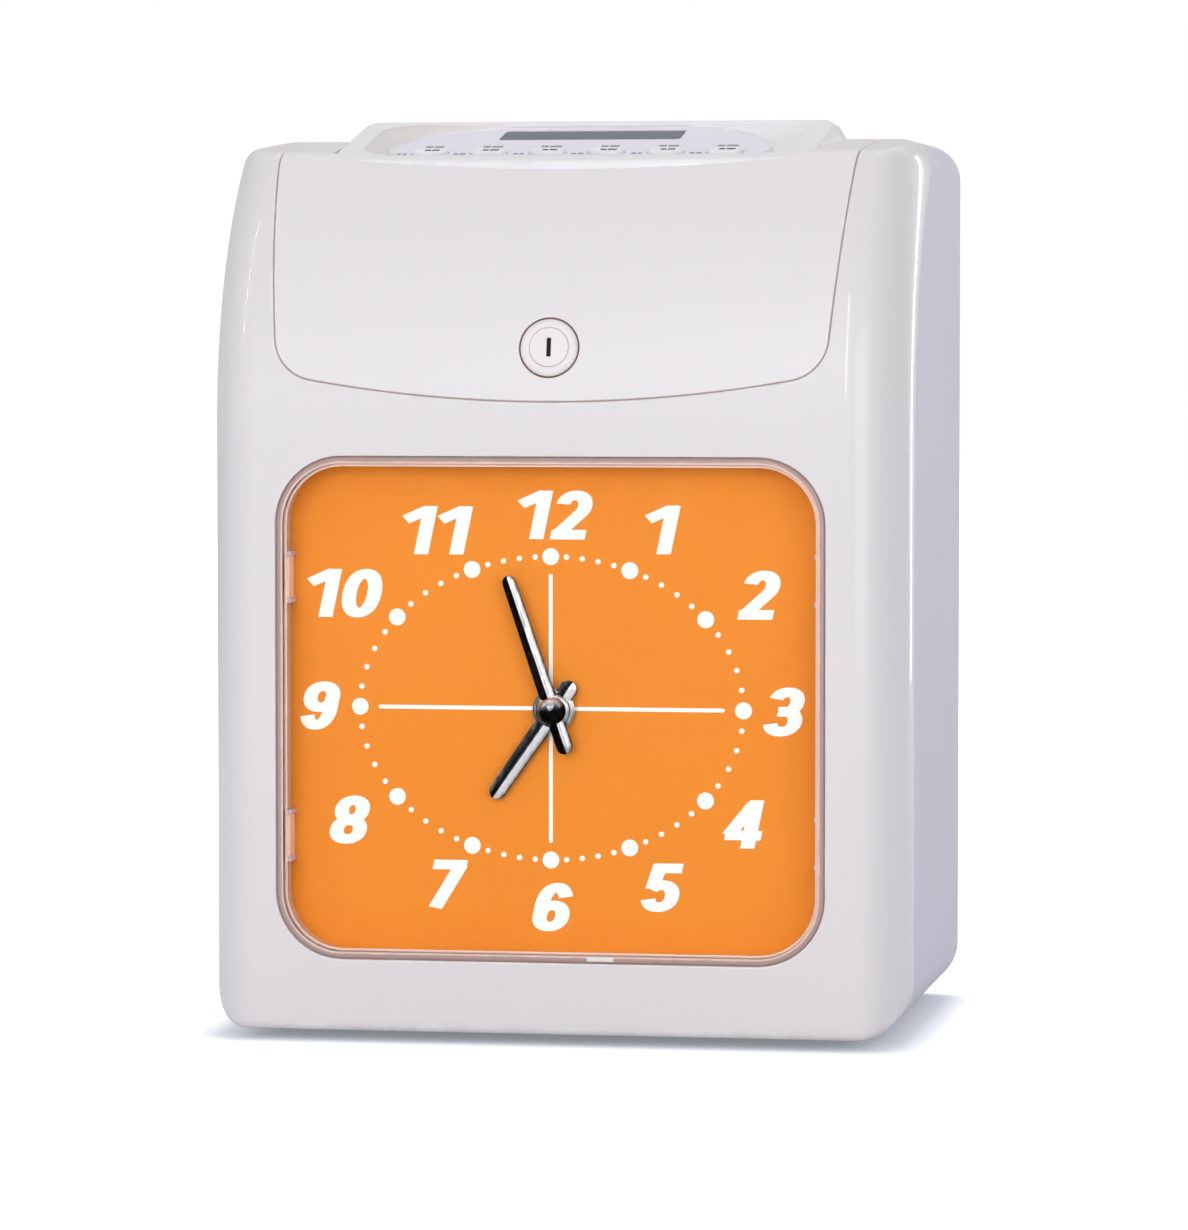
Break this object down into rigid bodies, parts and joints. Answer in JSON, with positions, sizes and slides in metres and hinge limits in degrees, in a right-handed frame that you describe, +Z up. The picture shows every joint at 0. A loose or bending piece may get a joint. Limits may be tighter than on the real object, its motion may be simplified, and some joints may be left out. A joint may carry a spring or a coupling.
{
  "type": "punch card time clock",
  "caption": "Desk time clock with an orange analogue dial behind a clear window, a hinged lockable hood, a keyed console and a top card slot.",
  "frame": {"origin": "bottom centre of the bounding box, on the table under the feet", "axes": "+X to the right seen from the front, +Y from the clock face to the back, +Z up"},
  "size_m": [0.21, 0.15, 0.2749],
  "materials": {
    "shell_white": "gloss",
    "housing_white": "fine texture",
    "cover_white": "gloss",
    "console_lilac": "satin",
    "lens_clear": "clear",
    "dial_orange": "printed",
    "hand_chrome": "polished",
    "lock_metal": "cream enamel",
    "steel": "zinc plated",
    "brass": "bright",
    "rubber": "matte",
    "dark_plastic": "satin",
    "display_dark": "dark",
    "key_white": "satin",
    "board_green": "lacquered",
    "gear_nylon": "natural",
    "ribbon_ink": "inked",
    "cell_wrap": "shrink wrap"
  },
  "bodies": {
    "housing": {"front_shell": "shell_white", "rear_housing": "housing_white", "rear_panel": "housing_white", "panel_screws": "steel", "feet": "rubber", "hinge_pins": "steel", "console": "shell_white", "console_panel": "console_lilac", "display": "display_dark", "display_board": "board_green", "key_board": "board_green", "lens": "lens_clear", "dial": "dial_orange", "dial_clips": "key_white", "dial_screws": "steel", "clock_movement": "dark_plastic", "chassis": "steel", "guide_shafts": "steel", "belt": "rubber", "carriage_motor": "steel", "ribbon_cassette": "dark_plastic", "ribbon": "ribbon_ink", "card_mouth": "shell_white", "card_guide_front": "steel", "card_guide_rear": "steel", "platen": "rubber", "feed_motor": "steel", "main_board": "board_green", "board_parts": "dark_plastic", "transformer": "steel", "battery": "cell_wrap", "power_inlet": "dark_plastic"},
    "cover": {"top_cover": "cover_white", "lock_body": "lock_metal", "lock_nut": "steel"},
    "lock": {"lock_plug": "lock_metal", "lock_cam": "steel", "cam_screw": "steel"},
    "hour": {"hour_hand": "hand_chrome", "hour_tube": "brass"},
    "minute": {"minute_hand": "hand_chrome", "minute_arbor": "brass", "hand_cap": "dark_plastic"},
    "carriage": {"print_carriage": "dark_plastic", "print_head": "steel"},
    "drive_wheel": {"drive_pulley": "brass"},
    "idler_wheel": {"idler_pulley": "brass"},
    "ribbon_winder": {"ribbon_knob": "key_white"},
    "feed": {"feed_shaft": "steel", "feed_tyres": "rubber", "feed_gear": "gear_nylon"},
    "pinch": {"pinch_rollers": "rubber"},
    "pinion": {"feed_pinion": "gear_nylon"},
    "key_1": {"button_1": "key_white"},
    "key_2": {"button_2": "key_white"},
    "key_3": {"button_3": "key_white"},
    "key_4": {"button_4": "key_white"},
    "key_5": {"button_5": "key_white"},
    "key_6": {"button_6": "key_white"}
  },
  "joints": [
    {"name": "cover_hinge", "type": "hinge", "parent": "housing", "child": "cover", "pos_m": [0, 0.009, 0.2655], "axis": [-1, 0, 0], "range_deg": [0, 62]},
    {"name": "lock_turn", "type": "hinge", "parent": "cover", "child": "lock", "pos_m": [0, -0.07268, 0.2055], "axis": [0, 0.9806, -0.1958], "range_deg": [0, 90]},
    {"name": "minute_turn", "type": "hinge", "parent": "housing", "child": "minute", "pos_m": [0, -0.067, 0.0984], "axis": [0, 1, 0], "continuous": true},
    {"name": "hour_turn", "type": "hinge", "parent": "housing", "child": "hour", "pos_m": [0, -0.065, 0.0984], "axis": [0, 1, 0], "continuous": true},
    {"name": "carriage_slide", "type": "slide", "parent": "housing", "child": "carriage", "axis": [1, 0, 0], "range_m": [-0.034, 0.034]},
    {"name": "drive_wheel_turn", "type": "hinge", "parent": "housing", "child": "drive_wheel", "pos_m": [-0.05, 0.005, 0.184], "axis": [0, 0, 1], "range_deg": [-310, 310]},
    {"name": "idler_wheel_turn", "type": "hinge", "parent": "housing", "child": "idler_wheel", "pos_m": [0.05, 0.005, 0.184], "axis": [0, 0, 1], "range_deg": [-310, 310]},
    {"name": "ribbon_wind", "type": "hinge", "parent": "housing", "child": "ribbon_winder", "pos_m": [-0.042, -0.018, 0.22], "axis": [0, 0, 1], "continuous": true},
    {"name": "feed_turn", "type": "hinge", "parent": "housing", "child": "feed", "pos_m": [0, 0.044, 0.17], "axis": [1, 0, 0], "continuous": true},
    {"name": "pinch_turn", "type": "hinge", "parent": "housing", "child": "pinch", "pos_m": [0, 0.0237, 0.17], "axis": [1, 0, 0], "continuous": true},
    {"name": "pinion_turn", "type": "hinge", "parent": "housing", "child": "pinion", "pos_m": [0.072, 0.044, 0.143], "axis": [1, 0, 0], "continuous": true},
    {"name": "key_1_press", "type": "slide", "parent": "housing", "child": "key_1", "axis": [0, 0.2164, -0.9763], "range_m": [0, 0.0012], "stiffness_N_per_m": 400},
    {"name": "key_2_press", "type": "slide", "parent": "housing", "child": "key_2", "axis": [0, 0.2164, -0.9763], "range_m": [0, 0.0012], "stiffness_N_per_m": 400},
    {"name": "key_3_press", "type": "slide", "parent": "housing", "child": "key_3", "axis": [0, 0.2164, -0.9763], "range_m": [0, 0.0012], "stiffness_N_per_m": 400},
    {"name": "key_4_press", "type": "slide", "parent": "housing", "child": "key_4", "axis": [0, 0.2164, -0.9763], "range_m": [0, 0.0012], "stiffness_N_per_m": 400},
    {"name": "key_5_press", "type": "slide", "parent": "housing", "child": "key_5", "axis": [0, 0.2164, -0.9763], "range_m": [0, 0.0012], "stiffness_N_per_m": 400},
    {"name": "key_6_press", "type": "slide", "parent": "housing", "child": "key_6", "axis": [0, 0.2164, -0.9763], "range_m": [0, 0.0012], "stiffness_N_per_m": 400}
  ],
  "couplings": [
    {"joint": "hour_turn", "follows": "minute_turn", "ratio": 0.083333},
    {"joint": "drive_wheel_turn", "follows": "carriage_slide", "rad_per_m": -153.85},
    {"joint": "idler_wheel_turn", "follows": "carriage_slide", "rad_per_m": -153.85},
    {"joint": "pinch_turn", "follows": "feed_turn", "ratio": -1.4625},
    {"joint": "pinion_turn", "follows": "feed_turn", "ratio": -2}
  ]
}
